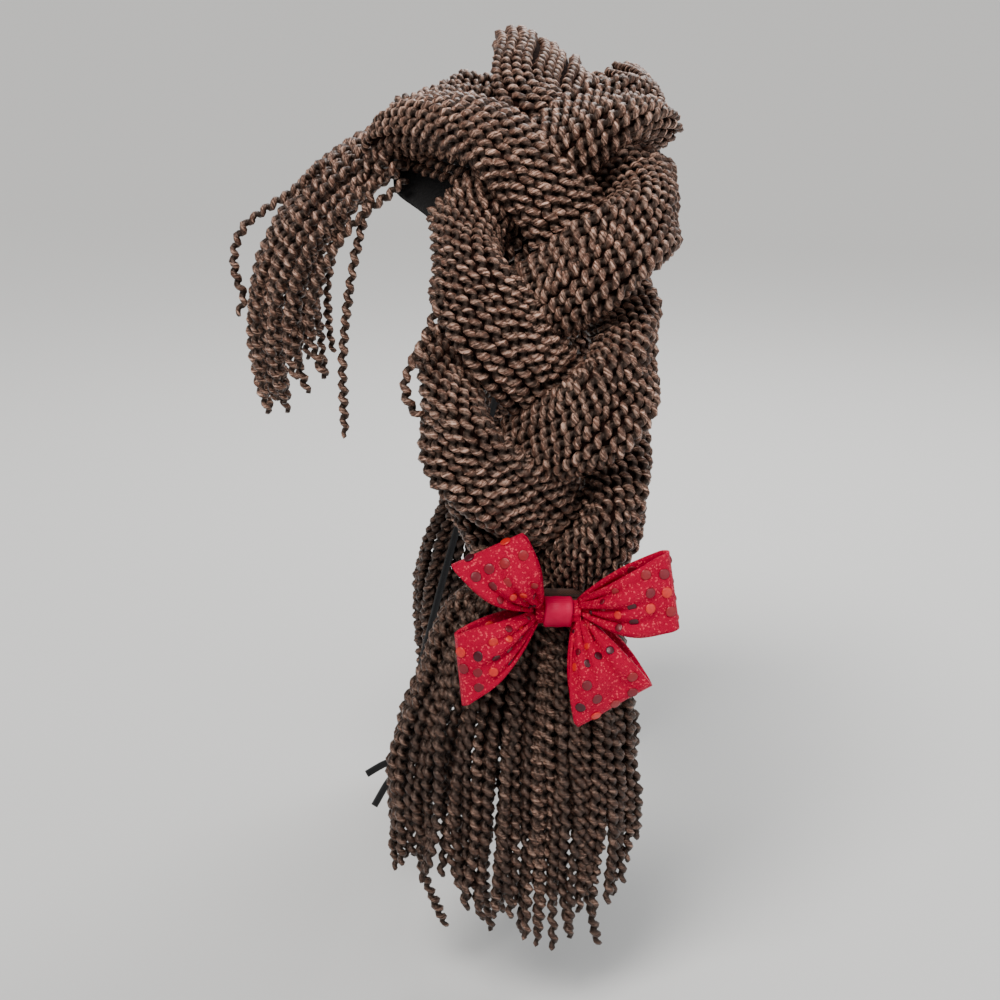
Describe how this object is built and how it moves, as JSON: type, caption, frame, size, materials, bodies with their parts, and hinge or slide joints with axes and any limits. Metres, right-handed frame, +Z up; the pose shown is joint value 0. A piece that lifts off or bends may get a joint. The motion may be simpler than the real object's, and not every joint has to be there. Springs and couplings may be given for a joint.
{
  "type": "braid wig",
  "caption": "Costume wig of thick twisted yarn: a fat plait over the crown and down each side to a ribbon bow and a loose tassel, with a fringe and a chin elastic.",
  "frame": {"origin": "top of the wearer's head, where the felt band's inside rests", "axes": "+Z up from the head, -Y towards the wearer's face, +X towards the wearer's left"},
  "size_m": [0.2376, 0.1399, 0.2654],
  "materials": {
    "felt": "matte black felt",
    "yarn": "dark brown twisted yarn with a soft sheen",
    "tie_rubber": "matte black",
    "glitter_ribbon": "crimson glitter ribbon with round dots",
    "satin": "crimson satin",
    "elastic": "matte black braided elastic"
  },
  "bodies": {
    "root": {"felt_band": "felt", "yarn_bundle_1": "yarn", "yarn_bundle_2": "yarn", "yarn_bundle_3": "yarn", "fringe": "yarn", "tassel_left": "yarn", "tassel_right": "yarn", "tie_left": "tie_rubber", "tie_right": "tie_rubber", "bow_ribbon_left": "glitter_ribbon", "bow_ribbon_right": "glitter_ribbon", "bow_band_left": "satin", "bow_band_right": "satin", "chin_elastic": "elastic", "elastic_knot": "elastic"}
  },
  "joints": []
}
